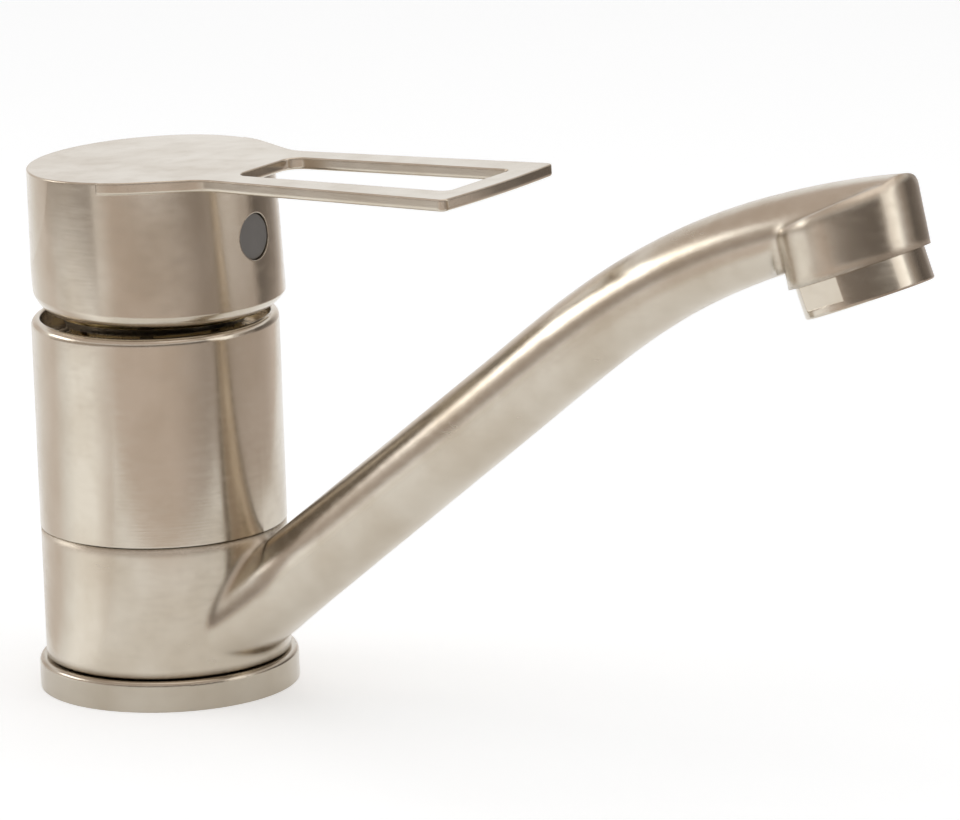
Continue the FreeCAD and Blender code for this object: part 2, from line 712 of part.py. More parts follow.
def head_cup():
    """The cup-shaped head, flared into the tube over its lower band."""
    centre = head_frame()[0]
    outline, touch = flared_outline()
    cup = leaning_cup(outline, val.head_tall, val.head_tilt + val.head_slope, val.head_ridge)
    band = leaning_box(centre, val.head_tilt, 3 * val.head_rad, touch, 2 * val.head_rad,
                       -val.head_rad, val.head_low)
    column = Part.Face(disc_outline()).extrude(rising(val.head_lean)[1] * val.head_rad)
    return cup.cut(band.cut(column))


def on_collar(edge):
    """Tells whether an edge is part of the line where the tube meets the collar."""
    ends = (edge.FirstParameter, edge.LastParameter)
    points = [edge.valueAt(ends[0] + (ends[1] - ends[0]) * share) for share in (0.1, 0.5, 0.9)]
    round_it = all(abs(math.hypot(p.x, p.y) - val.collar_rad) < 1e-2 for p in points)
    return round_it and min(p.x for p in points) > 0 and edge.BoundBox.ZLength > 1e-3


def spout():
    """Collar, tube and head: one hollow casting."""
    foot = val.collar_foot
    top = val.collar_top
    centre, axis = head_frame()
    crown = leaning_cup(disc_outline(), val.crown_tall, val.crown_slope, val.crown_round)
    far = val.head_x + val.head_rad
    behind = leaning_box(centre, val.head_tilt, 2 * far, 0, far, -far, far)
    pipe = tube_loft().common(crown.fuse(behind)).cut(upright(val.glide_out + val.tube_clear, 0, top))
    pipe = pipe.cut(upright(val.base_rad, 0, foot)).cut(upright(val.base_rad, top, 2 * top))
    head = head_cup().fuse(pipe).removeSplitter()
    body = spout_collar(foot, top).fuse(head).removeSplitter()
    body = body.makeFillet(val.tube_fillet, [e for e in body.Edges if on_collar(e)])
    return body.cut(spout_hollows(foot, top, centre, axis))


def spout_hollows(foot, top, centre, axis):
    """Bearing bore, water way and outlet thread of the spout."""
    seat = val.glide_out + val.glide_play
    step = val.glide_tall + val.glide_play
    elbow_x = val.tube_bend_x - (val.tube_bend_z - val.port_z) / math.tan(math.radians(val.tube_rise))
    elbow = Vector(elbow_x, 0, val.port_z)
    well = centre + axis * 0.5 * val.head_well_deep
    stations = [elbow_x + (well.x - val.water_end - elbow_x) * step / 10 for step in range(11)]
    way = Part.makeLoft([oval(x, val.water_rad, val.water_rad) for x in stations], True, False)
    return [
        upright(val.spigot_rad + val.collar_gap, foot, top),
        upright(seat, foot, val.base_tall + step),
        upright(seat, val.body_foot - step, top),
        Part.makeCylinder(val.water_rad, elbow_x - val.oring_rad,
                          Vector(val.oring_rad, 0, val.port_z), Vector(1, 0, 0)),
        Part.makeSphere(val.water_rad, elbow),
        way,
        Part.makeCylinder(val.head_bore, val.head_bore_deep, centre, axis),
        Part.makeCylinder(val.head_well_rad, val.head_well_deep, centre, axis),
    ]


def aerator_housing():
    """Screwed ring under the head, with a neck inside it and two spanner flats."""
    blank = turned("ring_turned", [
        ("ring_bore - ring_lip", "-ring_tall"),
        ("ring_rad", "-ring_tall"),
        ("ring_rad", "0"),
        ("head_bore - thread_play", "0"),
        ("head_bore - thread_play", "ring_neck_tall"),
        ("ring_bore", "ring_neck_tall"),
        ("ring_bore", "ring_lip_tall - ring_tall"),
        ("ring_bore - ring_lip", "ring_lip_tall - ring_tall"),
    ])
    ring = rounded("ring_rounded", blank, "ring_edge", circle_at(val.ring_rad, -val.ring_tall))
    flats = []
    for side, corner in (("near", "-flat_half - ring_rad"), ("far", "flat_half")):
        flat = block(side + "_flat_block", ("2 * ring_rad", "ring_rad", "flat_tall"),
                     ("-ring_rad", corner, "-flat_tall"))
        turned_flat = spun(side + "_flat", flat, 0)
        bind(turned_flat, "Placement.Rotation.Angle", "flat_turn")
        flats.append(turned_flat)
    return cut("ring_flats", ring, flats)


def grid(name, reach, pitch, half_hole, low, high):
    """Square holes in rows, as tools for cutting a grid about Z."""
    holes = []
    count = int(reach / pitch)
    for row in range(-count, count + 1):
        for column in range(-count, count + 1):
            middle = Vector(row * pitch, column * pitch, 0)
            if middle.Length + 1.5 * half_hole < reach:
                corner = middle - Vector(half_hole, half_hole, -low)
                holes.append(Part.makeBox(2 * half_hole, 2 * half_hole, high - low, corner))
    return solid(name, Part.makeCompound(holes))


def aerator_pieces():
    """Ring, insert, screen and washer, all on the leaning outlet axis."""
    outer = val.ring_bore - val.insert_play
    low = val.ring_lip_tall - val.ring_tall
    cup = turned("insert_turned", [
        ("0", "ring_lip_tall - ring_tall"),
        ("ring_bore - insert_play", "ring_lip_tall - ring_tall"),
        ("ring_bore - insert_play", "ring_lip_tall - ring_tall + insert_tall"),
        ("ring_bore - insert_play - insert_wall", "ring_lip_tall - ring_tall + insert_tall"),
        ("ring_bore - insert_play - insert_wall", "ring_lip_tall - ring_tall + insert_floor"),
        ("0", "ring_lip_tall - ring_tall + insert_floor"),
    ])
    half = 0.5 * (val.insert_pitch - val.insert_bar)
    cells = grid("insert_cells", outer - val.insert_wall, val.insert_pitch, half,
                 low, low + val.insert_floor)
    disc = cylinder("screen_disc", "ring_bore - insert_play", "screen_thick",
                    z="ring_lip_tall - ring_tall + insert_tall")
    mesh = grid("screen_mesh", outer - val.insert_wall, 3 * val.screen_hole, val.screen_hole,
                low + val.insert_tall, low + val.insert_tall + val.screen_thick)
    washer = tube("washer_turned", "washer_in", "head_bore - thread_play",
                  "ring_neck_tall", "head_bore_deep")
    for label, item in (("aerator_housing", aerator_housing()),
                        ("aerator_insert", cut("insert_grid", cup, [cells])),
                        ("aerator_screen", cut("screen_holes", disc, [mesh])),
                        ("aerator_washer", washer)):
        keep(leaned(item, "head_x", "head_z", "head_tilt"), label)


# ---------------------------------------------------------------- cartridge

PORTS = (("hot", "inlet_x", "-inlet_y"), ("cold", "inlet_x", "inlet_y"), ("out", "outlet_x", "0"))


def ports(prefix, radius, low, high):
    """Three upright bores, one over each water way of the body."""
    return [cylinder("%s_%s_port" % (prefix, name), radius, "%s - (%s)" % (high, low), x, y, low)
            for name, x, y in PORTS]


def port_gasket():
    """One moulded gasket: a ring round each port, joined by two webs."""
    top = "bore_floor + gasket_tall"
    rings = ports("gasket_rim", "gasket_hole + gasket_width", "bore_floor", top)
    rings.append(block("gasket_cross_web", ("gasket_width", "2 * inlet_y", "gasket_tall"),
                       ("inlet_x - 0.5 * gasket_width", "-inlet_y", "bore_floor")))
    rings.append(block("gasket_long_web", ("inlet_x - outlet_x", "gasket_width", "gasket_tall"),
                       ("outlet_x", "-0.5 * gasket_width", "bore_floor")))
    holes = ports("gasket_hole", "gasket_hole", "bore_floor", top)
    gasket = cut("gasket_moulded", joined("gasket_rims", rings), holes)
    keep(gasket, "cartridge_gasket")
    return gasket


def cartridge_shell():
    """Base with its gasket, housing with its neck, and the fixed disc."""
    gasket = port_gasket()
    blank = turned("cart_base_turned", [
        ("0", "bore_floor + foot_gap"),
        ("cart_rad", "bore_floor + foot_gap"),
        ("cart_rad", "cart_foot"),
        ("disc_rad", "cart_foot"),
        ("disc_rad", "foot_top"),
        ("0", "foot_top"),
    ])
    bores = ports("cart_base", "port_hole", "bore_floor", "foot_top")
    keep(cut("cart_base_ports", blank, bores + [gasket]), "cartridge_base")
    disc = cylinder("fixed_disc_blank", "disc_rad", "disc_thick", z="foot_top")
    bores = ports("fixed_disc", "port_hole", "foot_top", "foot_top + disc_thick")
    keep(cut("fixed_disc_ports", disc, bores), "fixed_disc")
    keep(turned("cart_housing_turned", [
        ("cart_rad - cart_wall", "cart_foot"),
        ("cart_rad", "cart_foot"),
        ("cart_rad", "cart_shoulder"),
        ("neck_rad", "cart_shoulder"),
        ("neck_rad", "neck_top"),
        ("neck_bore", "neck_top"),
        ("neck_bore", "cart_roof"),
        ("cart_rad - cart_wall", "cart_roof"),
    ]), "cartridge_housing")


def slider():
    """Moving disc and its carrier, offset behind the axis when shut."""
    disc = cylinder("moving_disc_blank", "slider_rad", "disc_thick", "-slider_back", "0",
                    "slider_foot")
    round_recess = cylinder("recess_round", "recess_rad", "recess_deep", z="slider_foot")
    long_recess = block("recess_long_block", ("recess_long", "2 * recess_half", "recess_deep"),
                        ("-recess_long", "-recess_half", "slider_foot"))
    keep(cut("moving_disc_recess", disc, [round_recess, long_recess]), "moving_disc")
    plate = cylinder("carrier_plate", "slider_rad", "carrier_thick", "-slider_back", "0",
                     "carrier_foot")
    pillar = block("carrier_pillar", ("pillar_long", "pillar_wide", "pillar_top - carrier_foot"),
                   ("ball_x - 0.5 * pillar_long", "-0.5 * pillar_wide", "carrier_foot"))
    socket = block("carrier_socket",
                   ("pillar_long - 2 * socket_wall", "pillar_wide", "pillar_top - socket_floor"),
                   ("ball_x - 0.5 * pillar_long + socket_wall", "-0.5 * pillar_wide",
                    "socket_floor"))
    keep(cut("carrier_fork", joined("carrier_blank", [plate, pillar]), [socket]), "disc_carrier")


def rotor():
    """Turning part in the neck: it guides the carrier and holds the lever's pin."""
    blank = turned("rotor_turned", [
        ("0", "rotor_foot"),
        ("cart_rad - cart_wall - flange_play", "rotor_foot"),
        ("cart_rad - cart_wall - flange_play", "cart_roof - rotor_play"),
        ("neck_bore - rotor_play", "cart_roof - rotor_play"),
        ("neck_bore - rotor_play", "neck_top"),
        ("0", "neck_top"),
    ])
    guide = block("rotor_guide",
                  ("pillar_long + slide_travel + 2 * slide_play", "pillar_wide + 2 * slide_play",
                   "slot_low - rotor_foot"),
                  ("ball_x - 0.5 * pillar_long - slide_play", "-0.5 * pillar_wide - slide_play",
                   "rotor_foot"))
    slot = block("rotor_slot",
                 ("slot_back + slot_front", "2 * (stem_half + slot_play)", "neck_top - slot_low"),
                 ("-slot_back", "-(stem_half + slot_play)", "slot_low"))
    bore = cylinder("rotor_pin_bore", "pin_rad + pin_fit", "2 * neck_bore",
                    "0", "-neck_bore", "pivot_z", Vector(0, 1, 0))
    keep(cut("rotor_cut", blank, [guide, slot, bore]), "cartridge_rotor")
    pin = cylinder("pin_turned", "pin_rad", "2 * pin_half", "0", "-pin_half", "pivot_z",
                   Vector(0, 1, 0))
    keep(pin, "stem_pin")


def nut_and_dome():
    """Nut that clamps the cartridge, and the domed ring seen under the cap."""
    ring = tube("nut_turned", "nut_hole", "thread_rad - nut_play", "cart_shoulder", "nut_top")
    notch = block("nut_notch_block", ("2 * thread_rad", "nut_notch", "nut_notch_deep"),
                  ("-thread_rad", "-0.5 * nut_notch", "nut_top - nut_notch_deep"))
    pairs = int(val.nut_notches / 2)
    notches = [spun("nut_notch_%d" % i, notch, 180.0 * i / pairs) for i in range(pairs)]
    keep(cut("nut_notched", ring, notches), "cartridge_nut")
    band = tube("dome_band", "dome_hole", "dome_ball + dome_wall", "nut_top", "dome_top")
    shell = shared("dome_outside", band, ball("dome_ball_out", "dome_ball", "pivot_z"))
    under_flange = cylinder("dome_under_flange", "dome_ball", "dome_top - dome_wall - nut_top",
                            z="nut_top")
    inner_ball = ball("dome_ball_in", "dome_ball - dome_wall", "pivot_z")
    hollow = shared("dome_inside", under_flange, inner_ball)
    keep(cut("dome_hollow", shell, [hollow]), "dome_ring")


# ---------------------------------------------------------------- lever

def plate_outline():
    """Closed outline of the lever plate: part of a circle, neck, rails and bowed tip."""
    fore = val.cap_fore
    wide = val.cap_rad + val.plate_proud
    step_x = val.plate_step - fore
    turn = math.radians(val.neck_angle)
    leave = Vector(fore + wide * math.cos(turn), wide * math.sin(turn), 0)
    fall = 1.0 / math.tan(turn)
    grow = (val.tip_half - val.rail_root_half) / (val.plate_tip - val.rail_root_x)
    root_x = (leave.y + fall * leave.x - val.rail_root_half + grow * val.rail_root_x) / (fall + grow)
    root = Vector(root_x, leave.y - fall * (root_x - leave.x), 0)
    tip = Vector(val.plate_tip, val.tip_half, 0)
    outer = Vector(val.plate_step, math.sqrt(wide ** 2 - step_x ** 2), 0)
    middle_turn = 0.5 * (turn + math.atan2(outer.y, step_x))
    middle = Vector(fore + wide * math.cos(middle_turn), wide * math.sin(middle_turn), 0)

    def mirrored(point):
        return Vector(point.x, -point.y, 0)

    def half(flip):
        start, over, end, corner, last = [flip(p) for p in (outer, middle, leave, root, tip)]
        return [Part.Arc(start, over, end), Part.LineSegment(end, corner),
                Part.LineSegment(corner, last)]

    nose = Vector(val.plate_tip + val.plate_bow, 0, 0)
    curves = half(lambda p: p) + [Part.Arc(tip, nose, mirrored(tip))]
    curves += half(mirrored) + [Part.LineSegment(mirrored(outer), outer)]
    edges = Part.sortEdges([c.toShape() for c in curves])[0]
    return Part.Wire(edges), root, tip


def upright_edges(shape, points):
    """The vertical edges of a prism that stand on the given points."""
    def stands(edge):
        middle = edge.CenterOfMass
        near = any(math.hypot(middle.x - p.x, abs(middle.y) - p.y) < 0.01 for p in points)
        return near and edge.BoundBox.ZLength > 1.0
    return [e for e in shape.Edges if stands(e)]


def rim_edges(shape, height):
    """The plate's edges in one level, but for the one that lies inside the cap."""
    def level(edge):
        box = edge.BoundBox
        flat = abs(box.ZMin - height) < 1e-4 and abs(box.ZMax - height) < 1e-4
        return flat and box.XMax > val.plate_step + 1e-3
    return [e for e in shape.Edges if level(e)]


def lever_plate():
    """The lever's plate with its finger loop, top face in the plane Z = 0."""
    outline, root, tip = plate_outline()
    depth = Vector(0, 0, -val.plate_thick)
    plate = Part.Face(outline).extrude(depth)
    plate = plate.makeFillet(val.neck_round, upright_edges(plate, [root]))
    plate = plate.makeFillet(val.tip_round, upright_edges(plate, [tip]))
    rear = Vector(val.loop_back, val.loop_back_half, 0)
    front = Vector(val.loop_front, val.loop_front_half, 0)
    corners = [rear, front, Vector(front.x, -front.y, 0), Vector(rear.x, -rear.y, 0), rear]
    loop = Part.Face(Part.makePolygon(corners)).extrude(depth)
    loop = loop.makeFillet(val.loop_back_round, upright_edges(loop, [rear]))
    loop = loop.makeFillet(val.loop_front_round, upright_edges(loop, [front]))
    plate = plate.cut(loop)
    plate = plate.makeFillet(val.plate_top_edge, rim_edges(plate, 0))
    return plate.makeFillet(val.plate_low_edge, rim_edges(plate, -val.plate_thick))


def lever_cap():
    """The cap under the plate: a leaning cylinder inside an upright turned bowl."""
    far = 2 * val.cap_rad
    low = val.skirt_z - val.skirt_round
    cap = Part.makeCylinder(val.cap_rad, far, Vector(val.cap_fore, 0, low))
    bowl = Part.makeCylinder(val.skirt_rad, far, Vector(0, 0, val.skirt_z))
    rim = [e for e in bowl.Edges if circle_at(val.skirt_rad, val.skirt_z)(e)]
    bowl = bowl.makeFillet(val.skirt_round, rim)
    bowl.translate(Vector(val.skirt_fore, 0, 0))
    bowl.rotate(Vector(), Vector(0, 1, 0), val.lever_lean)
    above = Part.makeBox(2 * far, 2 * far, far, Vector(-far, -far, 0))
    above.Placement = plate_place()
    cap = cap.common(bowl).cut(above)
    rim = max(cap.Edges, key=lambda e: e.CenterOfMass.z)
    return cap.makeFillet(val.cap_edge, [rim])


def plate_place():
    """Places the plate's frame in the lever's frame."""
    turn = Rotation(Vector(0, 1, 0), val.plate_fall)
    return FreeCAD.Placement(Vector(val.top_x, 0, val.top_z), turn)


def lever_handle():
    """Cap, plate, stem boss and the seats of screw and plug, in one casting."""
    plate = lever_plate()
    plate.translate(Vector(-val.top_x, 0, 0))
    plate.Placement = plate_place().multiply(plate.Placement)
    outside = lever_cap().fuse(plate).removeSplitter()
    roof = val.cap_roof
    cavity = Part.makeCylinder(val.cap_cavity, roof + val.cap_rad, Vector(0, 0, -val.cap_rad))
    boss = Part.makeCylinder(val.boss_rad, roof - val.boss_foot, Vector(0, 0, val.boss_foot))
    web = Part.makeBox(val.cap_cavity, 2 * val.web_half, roof - val.boss_foot,
                       Vector(0, -val.web_half, val.boss_foot))
    hollow = cavity.cut(boss.fuse(web))
    square = val.stem_half + val.stem_fit
    socket = Part.makeBox(2 * square, 2 * square, val.stem_top + val.stem_spare - val.boss_foot,
                          Vector(-square, -square, val.boss_foot))
    forward = Vector(1, 0, 0)
    line = Vector(0, 0, val.screw_z)
    thread = Part.makeCylinder(val.screw_rad + val.thread_play, val.plug_seat, line, forward)
    way_start = val.stem_half + val.screw_long
    way = Part.makeCylinder(val.screw_way, val.plug_seat - way_start,
                            line + forward * way_start, forward)
    seat = Part.makeCylinder(val.plug_rad + val.plug_fit, val.cap_rad,
                             line + forward * val.plug_seat, forward)
    return outside.cut([hollow, socket, thread, way, seat])


def stem():
    """Square stem with its pin hole, arm and ball."""
    square = block("stem_square", ("2 * stem_half", "2 * stem_half", "stem_top - stem_low"),
                   ("-stem_half", "-stem_half", "stem_low"))
    arm = cylinder("stem_arm", "arm_rad", "arm_long + stem_low + stem_half", z="-arm_long")
    shape = joined("stem_blank", [square, arm, ball("stem_ball", "ball_rad", "-arm_long")])
    hole = cylinder("stem_pin_hole", "pin_rad + pin_play", "2 * stem_half",
                    "0", "-stem_half", "0", Vector(0, 1, 0))
    return cut("stem_drilled", shape, [hole])


def screw_and_plug():
    """Grub screw against the stem, and the plug that hides its way in."""
    forward = Vector(1, 0, 0)
    screw = cylinder("screw_turned", "screw_rad", "screw_long", "stem_half", "0", "screw_z",
                     forward)
    key = block("screw_key_block", ("screw_key_deep", "2 * screw_key", "2 * screw_key"),
                ("stem_half + screw_long - screw_key_deep", "-screw_key", "screw_z - screw_key"))
    plug = Part.makeCylinder(val.plug_rad, val.plug_face - val.plug_seat,
                             Vector(val.plug_seat, 0, val.screw_z), forward)
    rim = [e for e in plug.Edges if e.BoundBox.XMin > val.plug_face - 1e-4]
    plug = plug.makeFillet(val.plug_edge, rim)
    return cut("screw_keyed", screw, [key]), solid("plug_moulded", plug)


def lever_pieces():
    """The lever's own pieces, modelled on its pivot and leaned back on it."""
    screw, plug = screw_and_plug()
    for label, item in (("lever_handle", solid("handle_cast", lever_handle())),
                        ("lever_stem", stem()),
                        ("grub_screw", screw),
                        ("index_plug", plug)):
        keep(leaned(item, "0", "pivot_z", "lever_lean"), label)


main_body()
base_pieces()
spout_bearing()
keep(solid("spout_cast", spout()), "spout")
aerator_pieces()
cartridge_shell()
slider()
rotor()
nut_and_dome()
lever_pieces()
doc.recompute()

failed = [o.Name for o in doc.Objects if "Invalid" in o.State or "Error" in o.State]
broken = [o.Label for o in parts if o.Shape.isNull() or not o.Shape.isValid()]
if failed or broken:
    raise RuntimeError("failed: %s broken: %s" % (failed, broken))

os.makedirs("parts", exist_ok=True)
for item in parts:
    item.Shape.exportStep("parts/%s.step" % item.Label)
    print(item.Label, round(item.Shape.Volume, 1), len(item.Shape.Solids))
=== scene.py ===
"""Finishes, studio and camera for a single-lever sink mixer with a swivelling spout."""

import logging
import math
from dataclasses import dataclass, field
from enum import Enum

import bpy
from mathutils import Matrix, Vector

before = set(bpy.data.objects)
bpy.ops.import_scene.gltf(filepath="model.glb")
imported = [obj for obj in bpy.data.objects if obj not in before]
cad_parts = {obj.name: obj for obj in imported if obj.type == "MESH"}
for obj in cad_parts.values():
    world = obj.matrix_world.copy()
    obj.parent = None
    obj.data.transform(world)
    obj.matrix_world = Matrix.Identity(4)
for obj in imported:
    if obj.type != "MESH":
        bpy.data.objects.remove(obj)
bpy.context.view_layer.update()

LOG = logging.getLogger("mixer")
Colour = tuple[float, float, float]
Point = tuple[float, float, float]
Waves = tuple[float, float, float]


class Grain(Enum):
    """The way a surface was rubbed down, as waves per metre of its fine noise along X, Y and Z."""

    TURNED = (60.0, 60.0, 2600.0)
    ALONG = (120.0, 1500.0, 1500.0)
    CAST = (420.0, 420.0, 420.0)


class Pattern(Enum):
    """Coarser unevenness of the surfaces, as waves per metre along X, Y and Z."""

    CLOUDS = (75.0, 75.0, 55.0)
    MARKS = (240.0, 240.0, 700.0)
    HAZE = (150.0, 150.0, 150.0)
    HAIRLINES = (900.0, 900.0, 900.0)
    PATCHES = (170.0, 170.0, 170.0)
    MOULD_SKIN = (1400.0, 1400.0, 1400.0)
    FLOOR = (3.0, 3.0, 3.0)


class NodeTree:
    """Short calls for building a material's nodes."""

    def __init__(self, name: str) -> None:
        """Makes an empty material.

        Args:
            name: Name of the material.
        """
        self.material = bpy.data.materials.new(name)
        self.material.use_nodes = True
        self.tree = self.material.node_tree
        self.tree.nodes.clear()
        self.output = self.add("ShaderNodeOutputMaterial")
        self.shader = self.add("ShaderNodeBsdfPrincipled")
        self.join(self.shader.outputs["BSDF"], self.output.inputs["Surface"])
        self.place = self.add("ShaderNodeTexCoord").outputs["Object"]

    def add(self, kind: str, **settings: object) -> bpy.types.Node:
        """Adds a node.

        Args:
            kind: Type name of the node.
            **settings: Properties to set on it.

        Returns:
            The new node.
        """
        node = self.tree.nodes.new(kind)
        for name, value in settings.items():
            setattr(node, name, value)
        return node

    def join(self, start: bpy.types.NodeSocket, end: bpy.types.NodeSocket) -> None:
        """Links two sockets."""
        self.tree.links.new(start, end)

    def noise(self, waves: Waves, detail: float = 3.0) -> bpy.types.NodeSocket:
        """Adds a noise, stretched along the axes.

        Args:
            waves: Waves per metre along X, Y and Z.
            detail: Octaves of the noise.

        Returns:
            The noise value, about 0.5 on the average.
        """
        scale = self.add("ShaderNodeMapping", vector_type="POINT")
        scale.inputs["Scale"].default_value = waves
        self.join(self.place, scale.inputs["Vector"])
        noise = self.add("ShaderNodeTexNoise")
        noise.inputs["Scale"].default_value = 1.0
        noise.inputs["Detail"].default_value = detail
        self.join(scale.outputs["Vector"], noise.inputs["Vector"])
        return noise.outputs["Fac"]

    def spread(self, value: bpy.types.NodeSocket, low: float, high: float,
               start: float = 0.3, end: float = 0.7) -> bpy.types.NodeSocket:
        """Maps a value from one range to another.

        Args:
            value: The value to map.
            low: Result at the start of the range.
            high: Result at the end of the range.
            start: Start of the value's range.
            end: End of the value's range.

        Returns:
            The mapped value.
        """
        node = self.add("ShaderNodeMapRange")
        self.join(value, node.inputs["Value"])
        limits = {"From Min": start, "From Max": end, "To Min": low, "To Max": high}
        for name, number in limits.items():
            node.inputs[name].default_value = number
        return node.outputs["Result"]

    def blend(self, share: bpy.types.NodeSocket, first: Colour,
              second: Colour) -> bpy.types.NodeSocket:
        """Mixes two colours.

        Args:
            share: How much of the second colour shows.
            first: Colour at share 0.
            second: Colour at share 1.

        Returns:
            The mixed colour.
        """
        node = self.add("ShaderNodeMix", data_type="RGBA")
        self.join(share, node.inputs["Factor"])
        node.inputs["A"].default_value = (*first, 1.0)
        node.inputs["B"].default_value = (*second, 1.0)
        return node.outputs["Result"]

    def total(self, first: bpy.types.NodeSocket,
              second: bpy.types.NodeSocket) -> bpy.types.NodeSocket:
        """Adds two values."""
        node = self.add("ShaderNodeMath", operation="ADD")
        self.join(first, node.inputs[0])
        self.join(second, node.inputs[1])
        return node.outputs["Value"]

    def relief(self, height: bpy.types.NodeSocket, depth: float, soft: float = 0.0) -> None:
        """Gives the surface a fine relief, over edges that are rubbed soft.

        Args:
            height: Height of the relief, from 0 to 1.
            depth: Depth of the relief in metres.
            soft: Radius over which edges look rubbed down, in metres.
        """
        node = self.add("ShaderNodeBump")
        if soft:
            rubbed = self.add("ShaderNodeBevel", samples=6)
            rubbed.inputs["Radius"].default_value = soft
            self.join(rubbed.outputs["Normal"], node.inputs["Normal"])
        node.inputs["Strength"].default_value = 1.0
        node.inputs["Distance"].default_value = depth
        self.join(height, node.inputs["Height"])
        self.join(node.outputs["Normal"], self.shader.inputs["Normal"])


@dataclass(frozen=True)
class SatinMetal:
    """Rubbed, warm nickel: fine grain, cloudy tone, and faint handling marks.

    Attributes:
        name: Name of the material.
        grain: Direction of the rubbing.
        colour: Colour of the clean metal.
        stain: Colour of its darker clouds.
        cover: How much of the stain's colour shows in the darkest clouds.
        gloss: Roughness of the clean metal.
        depth: Depth of the grain in metres.
        soft: Radius over which edges look rubbed down, in metres.
    """

    name: str
    grain: Grain
    colour: Colour = (0.60, 0.545, 0.460)
    stain: Colour = (0.52, 0.455, 0.365)
    cover: float = 0.9
    gloss: float = 0.19
    depth: float = 0.000004
    soft: float = 0.0004

    def material(self) -> bpy.types.Material:
        """Builds the finish.

        Returns:
            The material.
        """
        tree = NodeTree(self.name)
        clouds = tree.noise(Pattern.CLOUDS.value, 5.0)
        grain = tree.noise(self.grain.value, 4.0)
        marks = tree.noise(Pattern.MARKS.value, 5.0)
        stained = tree.spread(clouds, 0.0, self.cover, 0.38, 0.66)
        tree.join(tree.blend(stained, self.colour, self.stain), tree.shader.inputs["Base Color"])
        tree.shader.inputs["Metallic"].default_value = 1.0
        cloudy = tree.spread(clouds, self.gloss - 0.03, self.gloss + 0.04)
        marked = tree.spread(marks, -0.02, 0.05, 0.45, 0.75)
        tree.join(tree.total(cloudy, marked), tree.shader.inputs["Roughness"])
        tree.relief(grain, self.depth, self.soft)
        return tree.material


@dataclass(frozen=True)
class PolishedMetal:
    """Plated or drawn metal with a light haze.

    Attributes:
        name: Name of the material.
        colour: Colour of the metal.
        gloss: Roughness where the haze is thinnest.
        dull: How much of the colour is left where the haze is thickest.
        depth: Depth of the hairlines in metres.
    """

    name: str
    colour: Colour
    gloss: float = 0.08
    dull: float = 0.86
    depth: float = 0.000002

    def material(self) -> bpy.types.Material:
        """Builds the finish.

        Returns:
            The material.
        """
        tree = NodeTree(self.name)
        haze = tree.noise(Pattern.HAZE.value)
        darker = tuple(self.dull * part for part in self.colour)
        tree.join(tree.blend(tree.spread(haze, 0.0, 1.0), self.colour, darker),
                  tree.shader.inputs["Base Color"])
        tree.shader.inputs["Metallic"].default_value = 1.0
        tree.join(tree.spread(haze, self.gloss, self.gloss + 0.08), tree.shader.inputs["Roughness"])
        tree.relief(tree.noise(Pattern.HAIRLINES.value), self.depth)
        return tree.material


@dataclass(frozen=True)
class Moulded:
    """Plastic, rubber or ceramic, with the fine unevenness of its mould.

    Attributes:
        name: Name of the material.
        colour: Its colour.
        gloss: Its roughness on the average.
        mottle: How much of the colour is left in its darkest patches.
        depth: Depth of the mould's unevenness in metres.
    """

    name: str
    colour: Colour
    gloss: float
    mottle: float = 0.85
    depth: float = 0.00001

    def material(self) -> bpy.types.Material:
        """Builds the finish.

        Returns:
            The material.
        """
        tree = NodeTree(self.name)
        patches = tree.noise(Pattern.PATCHES.value, 4.0)
        darker = tuple(self.mottle * part for part in self.colour)
        tree.join(tree.blend(tree.spread(patches, 0.0, 1.0), self.colour, darker),
                  tree.shader.inputs["Base Color"])
        tree.join(tree.spread(patches, self.gloss - 0.05, self.gloss + 0.06),
                  tree.shader.inputs["Roughness"])
        tree.relief(tree.noise(Pattern.MOULD_SKIN.value), self.depth)
        return tree.material


def dress(node: str, material: bpy.types.Material) -> None:
    """Gives a node of the frame its finish.

    Args:
        node: Name of the node.
        material: The finish.
    """
    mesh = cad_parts[node].data
    mesh.materials.clear()
    mesh.materials.append(material)
    LOG.info("%s: %s", node, material.name)


Finish = SatinMetal | PolishedMetal | Moulded


@dataclass
class Fittings:
    """A group of pieces that keep their shape from the frame, each with its finish."""

    finishes: dict[str, Finish]

    def build(self) -> None:
        """Dresses every piece of the group."""
        made: dict[str, bpy.types.Material] = {}
        for node, finish in self.finishes.items():
            if finish.name not in made:
                made[finish.name] = finish.material()
            dress(node, made[finish.name])


RUBBER = Moulded("black_rubber", (0.025, 0.025, 0.025), 0.62)
PLASTIC = Moulded("white_plastic", (0.72, 0.71, 0.67), 0.45)
CERAMIC = Moulded("ceramic", (0.82, 0.79, 0.70), 0.18, mottle=0.95, depth=0.000002)
STEEL = PolishedMetal("bright_steel", (0.60, 0.60, 0.59), 0.22)
CHROME = PolishedMetal("bright_chrome", (0.62, 0.61, 0.60), 0.06)
BRASS = PolishedMetal("plain_brass", (0.72, 0.55, 0.27), 0.25)


@dataclass
class Column(Fittings):
    """Base ring, barrel and what holds them on the deck."""

    finishes: dict[str, Finish] = field(default_factory=lambda: {
        "main_body": SatinMetal("satin_barrel", Grain.TURNED),
        "base_ring": SatinMetal("satin_base_ring", Grain.TURNED, colour=(0.50, 0.45, 0.375),
                                stain=(0.43, 0.375, 0.30), gloss=0.18),
        "base_seal": RUBBER,
        "retaining_clip": STEEL,
        "lower_glide_ring": PLASTIC,
        "upper_glide_ring": PLASTIC,
        "lower_spout_seal": RUBBER,
        "upper_spout_seal": RUBBER,
    })


